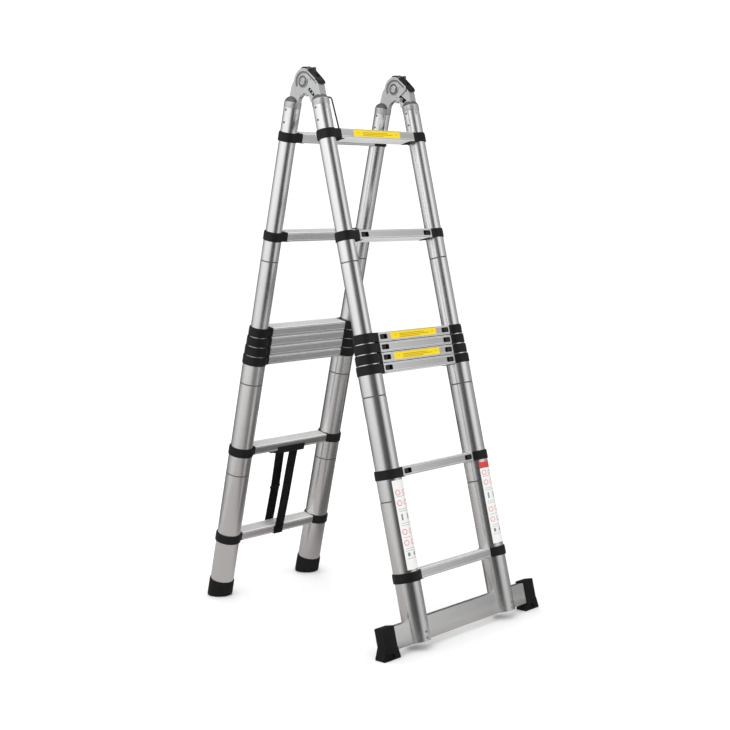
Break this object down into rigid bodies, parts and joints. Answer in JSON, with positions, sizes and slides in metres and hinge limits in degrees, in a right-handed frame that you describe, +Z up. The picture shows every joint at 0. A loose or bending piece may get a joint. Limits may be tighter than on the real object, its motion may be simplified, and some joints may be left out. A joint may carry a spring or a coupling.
{
  "type": "telescoping ladder",
  "caption": "Hinged double telescoping ladder: nested round tubes that slide rung by rung, leaned into an A-frame with a stabiliser bar, shown partly extended.",
  "frame": {"origin": "centre of the footprint on the floor, midway between the two ladders", "axes": "+X along the rungs, -Y towards the ladder with the stabiliser bar, +Z up"},
  "size_m": [0.718, 0.9209, 1.644],
  "materials": {
    "tube_aluminium": "satin anodised, drawn lengthwise",
    "collar_plastic": "fine-textured moulded black nylon",
    "slider_plastic": "moulded black, slightly glossy from use",
    "cast_metal": "fine-cast, light grey, satin",
    "pin_steel": "zinc-plated, turned",
    "foot_rubber": "matt black rubber",
    "webbing": "woven black webbing"
  },
  "bodies": {
    "front_1": {"front_section_1": "tube_aluminium", "front_section_1_collars": "collar_plastic", "hinge_front_leaves": "cast_metal", "hinge_pins": "pin_steel"},
    "front_2": {"front_section_2": "tube_aluminium", "front_section_2_collars": "collar_plastic"},
    "front_slider_2_left": {"front_slider_2_left": "slider_plastic"},
    "front_slider_2_right": {"front_slider_2_right": "slider_plastic"},
    "front_3": {"front_section_3": "tube_aluminium", "front_section_3_collars": "collar_plastic"},
    "front_slider_3_left": {"front_slider_3_left": "slider_plastic"},
    "front_slider_3_right": {"front_slider_3_right": "slider_plastic"},
    "front_4": {"front_section_4": "tube_aluminium", "front_section_4_collars": "collar_plastic"},
    "front_slider_4_left": {"front_slider_4_left": "slider_plastic"},
    "front_slider_4_right": {"front_slider_4_right": "slider_plastic"},
    "front_5": {"front_section_5": "tube_aluminium", "front_section_5_collars": "collar_plastic"},
    "front_slider_5_left": {"front_slider_5_left": "slider_plastic"},
    "front_slider_5_right": {"front_slider_5_right": "slider_plastic"},
    "front_6": {"front_section_6": "tube_aluminium", "front_section_6_collars": "collar_plastic"},
    "front_slider_6_left": {"front_slider_6_left": "slider_plastic"},
    "front_slider_6_right": {"front_slider_6_right": "slider_plastic"},
    "front_7": {"front_section_7": "tube_aluminium", "front_section_7_collars": "collar_plastic", "stabiliser_bar": "tube_aluminium", "stabiliser_shoes": "foot_rubber"},
    "front_slider_7_left": {"front_slider_7_left": "slider_plastic"},
    "front_slider_7_right": {"front_slider_7_right": "slider_plastic"},
    "rear_1": {"rear_section_1": "tube_aluminium", "rear_section_1_collars": "collar_plastic", "hinge_rear_leaves": "cast_metal"},
    "rear_2": {"rear_section_2": "tube_aluminium", "rear_section_2_collars": "collar_plastic"},
    "rear_slider_2_left": {"rear_slider_2_left": "slider_plastic"},
    "rear_slider_2_right": {"rear_slider_2_right": "slider_plastic"},
    "rear_3": {"rear_section_3": "tube_aluminium", "rear_section_3_collars": "collar_plastic"},
    "rear_slider_3_left": {"rear_slider_3_left": "slider_plastic"},
    "rear_slider_3_right": {"rear_slider_3_right": "slider_plastic"},
    "rear_4": {"rear_section_4": "tube_aluminium", "rear_section_4_collars": "collar_plastic"},
    "rear_slider_4_left": {"rear_slider_4_left": "slider_plastic"},
    "rear_slider_4_right": {"rear_slider_4_right": "slider_plastic"},
    "rear_5": {"rear_section_5": "tube_aluminium", "rear_section_5_collars": "collar_plastic"},
    "rear_slider_5_left": {"rear_slider_5_left": "slider_plastic"},
    "rear_slider_5_right": {"rear_slider_5_right": "slider_plastic"},
    "rear_6": {"rear_section_6": "tube_aluminium", "rear_section_6_collars": "collar_plastic"},
    "rear_slider_6_left": {"rear_slider_6_left": "slider_plastic"},
    "rear_slider_6_right": {"rear_slider_6_right": "slider_plastic"},
    "rear_7": {"rear_section_7": "tube_aluminium", "rear_section_7_collars": "collar_plastic", "rear_foot_caps": "foot_rubber", "carry_strap": "webbing"},
    "rear_slider_7_left": {"rear_slider_7_left": "slider_plastic"},
    "rear_slider_7_right": {"rear_slider_7_right": "slider_plastic"},
    "hinge_lock": {"hinge_lock_levers": "pin_steel"}
  },
  "joints": [
    {"name": "ladder_hinge", "type": "hinge", "parent": "front_1", "child": "rear_1", "pos_m": [0, -0.005, 1.602], "axis": [1, 0, 0], "range_deg": [-26.8, 153.2]},
    {"name": "lock_lever_pivot", "type": "hinge", "parent": "front_1", "child": "hinge_lock", "pos_m": [0, -0.0535, 1.60122], "axis": [1, 0, 0], "range_deg": [-15, 0], "stiffness_Nm_per_rad": 0.5, "springref_deg": 5.73},
    {"name": "front_slide_2", "type": "slide", "parent": "front_1", "child": "front_2", "axis": [0, -0.2317, -0.9728], "range_m": [-0.27, 0]},
    {"name": "front_slide_3", "type": "slide", "parent": "front_2", "child": "front_3", "axis": [0, -0.2317, -0.9728], "range_m": [-0.27, 0]},
    {"name": "front_slide_4", "type": "slide", "parent": "front_3", "child": "front_4", "axis": [0, -0.2317, -0.9728], "range_m": [0, 0.27]},
    {"name": "front_slide_5", "type": "slide", "parent": "front_4", "child": "front_5", "axis": [0, -0.2317, -0.9728], "range_m": [0, 0.27]},
    {"name": "front_slide_6", "type": "slide", "parent": "front_5", "child": "front_6", "axis": [0, -0.2317, -0.9728], "range_m": [0, 0.27]},
    {"name": "front_slide_7", "type": "slide", "parent": "front_6", "child": "front_7", "axis": [0, -0.2317, -0.9728], "range_m": [-0.27, 0]},
    {"name": "rear_slide_2", "type": "slide", "parent": "rear_1", "child": "rear_2", "axis": [0, 0.2317, -0.9728], "range_m": [-0.27, 0]},
    {"name": "rear_slide_3", "type": "slide", "parent": "rear_2", "child": "rear_3", "axis": [0, 0.2317, -0.9728], "range_m": [-0.27, 0]},
    {"name": "rear_slide_4", "type": "slide", "parent": "rear_3", "child": "rear_4", "axis": [0, 0.2317, -0.9728], "range_m": [0, 0.27]},
    {"name": "rear_slide_5", "type": "slide", "parent": "rear_4", "child": "rear_5", "axis": [0, 0.2317, -0.9728], "range_m": [0, 0.27]},
    {"name": "rear_slide_6", "type": "slide", "parent": "rear_5", "child": "rear_6", "axis": [0, 0.2317, -0.9728], "range_m": [0, 0.27]},
    {"name": "rear_slide_7", "type": "slide", "parent": "rear_6", "child": "rear_7", "axis": [0, 0.2317, -0.9728], "range_m": [-0.27, 0]},
    {"name": "front_release_2_left", "type": "slide", "parent": "front_2", "child": "front_slider_2_left", "axis": [1, 0, 0], "range_m": [0, 0.01], "stiffness_N_per_m": 250, "springref_m": -0.004},
    {"name": "front_release_2_right", "type": "slide", "parent": "front_2", "child": "front_slider_2_right", "axis": [-1, 0, 0], "range_m": [0, 0.01], "stiffness_N_per_m": 250, "springref_m": -0.004},
    {"name": "front_release_3_left", "type": "slide", "parent": "front_3", "child": "front_slider_3_left", "axis": [1, 0, 0], "range_m": [0, 0.01], "stiffness_N_per_m": 250, "springref_m": -0.004},
    {"name": "front_release_3_right", "type": "slide", "parent": "front_3", "child": "front_slider_3_right", "axis": [-1, 0, 0], "range_m": [0, 0.01], "stiffness_N_per_m": 250, "springref_m": -0.004},
    {"name": "front_release_4_left", "type": "slide", "parent": "front_4", "child": "front_slider_4_left", "axis": [1, 0, 0], "range_m": [0, 0.01], "stiffness_N_per_m": 250, "springref_m": -0.004},
    {"name": "front_release_4_right", "type": "slide", "parent": "front_4", "child": "front_slider_4_right", "axis": [-1, 0, 0], "range_m": [0, 0.01], "stiffness_N_per_m": 250, "springref_m": -0.004},
    {"name": "front_release_5_left", "type": "slide", "parent": "front_5", "child": "front_slider_5_left", "axis": [1, 0, 0], "range_m": [0, 0.01], "stiffness_N_per_m": 250, "springref_m": -0.004},
    {"name": "front_release_5_right", "type": "slide", "parent": "front_5", "child": "front_slider_5_right", "axis": [-1, 0, 0], "range_m": [0, 0.01], "stiffness_N_per_m": 250, "springref_m": -0.004},
    {"name": "front_release_6_left", "type": "slide", "parent": "front_6", "child": "front_slider_6_left", "axis": [1, 0, 0], "range_m": [0, 0.01], "stiffness_N_per_m": 250, "springref_m": -0.004},
    {"name": "front_release_6_right", "type": "slide", "parent": "front_6", "child": "front_slider_6_right", "axis": [-1, 0, 0], "range_m": [0, 0.01], "stiffness_N_per_m": 250, "springref_m": -0.004},
    {"name": "front_release_7_left", "type": "slide", "parent": "front_7", "child": "front_slider_7_left", "axis": [1, 0, 0], "range_m": [0, 0.01], "stiffness_N_per_m": 250, "springref_m": -0.004},
    {"name": "front_release_7_right", "type": "slide", "parent": "front_7", "child": "front_slider_7_right", "axis": [-1, 0, 0], "range_m": [0, 0.01], "stiffness_N_per_m": 250, "springref_m": -0.004},
    {"name": "rear_release_2_left", "type": "slide", "parent": "rear_2", "child": "rear_slider_2_left", "axis": [1, 0, 0], "range_m": [0, 0.01], "stiffness_N_per_m": 250, "springref_m": -0.004},
    {"name": "rear_release_2_right", "type": "slide", "parent": "rear_2", "child": "rear_slider_2_right", "axis": [-1, 0, 0], "range_m": [0, 0.01], "stiffness_N_per_m": 250, "springref_m": -0.004},
    {"name": "rear_release_3_left", "type": "slide", "parent": "rear_3", "child": "rear_slider_3_left", "axis": [1, 0, 0], "range_m": [0, 0.01], "stiffness_N_per_m": 250, "springref_m": -0.004},
    {"name": "rear_release_3_right", "type": "slide", "parent": "rear_3", "child": "rear_slider_3_right", "axis": [-1, 0, 0], "range_m": [0, 0.01], "stiffness_N_per_m": 250, "springref_m": -0.004},
    {"name": "rear_release_4_left", "type": "slide", "parent": "rear_4", "child": "rear_slider_4_left", "axis": [1, 0, 0], "range_m": [0, 0.01], "stiffness_N_per_m": 250, "springref_m": -0.004},
    {"name": "rear_release_4_right", "type": "slide", "parent": "rear_4", "child": "rear_slider_4_right", "axis": [-1, 0, 0], "range_m": [0, 0.01], "stiffness_N_per_m": 250, "springref_m": -0.004},
    {"name": "rear_release_5_left", "type": "slide", "parent": "rear_5", "child": "rear_slider_5_left", "axis": [1, 0, 0], "range_m": [0, 0.01], "stiffness_N_per_m": 250, "springref_m": -0.004},
    {"name": "rear_release_5_right", "type": "slide", "parent": "rear_5", "child": "rear_slider_5_right", "axis": [-1, 0, 0], "range_m": [0, 0.01], "stiffness_N_per_m": 250, "springref_m": -0.004},
    {"name": "rear_release_6_left", "type": "slide", "parent": "rear_6", "child": "rear_slider_6_left", "axis": [1, 0, 0], "range_m": [0, 0.01], "stiffness_N_per_m": 250, "springref_m": -0.004},
    {"name": "rear_release_6_right", "type": "slide", "parent": "rear_6", "child": "rear_slider_6_right", "axis": [-1, 0, 0], "range_m": [0, 0.01], "stiffness_N_per_m": 250, "springref_m": -0.004},
    {"name": "rear_release_7_left", "type": "slide", "parent": "rear_7", "child": "rear_slider_7_left", "axis": [1, 0, 0], "range_m": [0, 0.01], "stiffness_N_per_m": 250, "springref_m": -0.004},
    {"name": "rear_release_7_right", "type": "slide", "parent": "rear_7", "child": "rear_slider_7_right", "axis": [-1, 0, 0], "range_m": [0, 0.01], "stiffness_N_per_m": 250, "springref_m": -0.004}
  ]
}
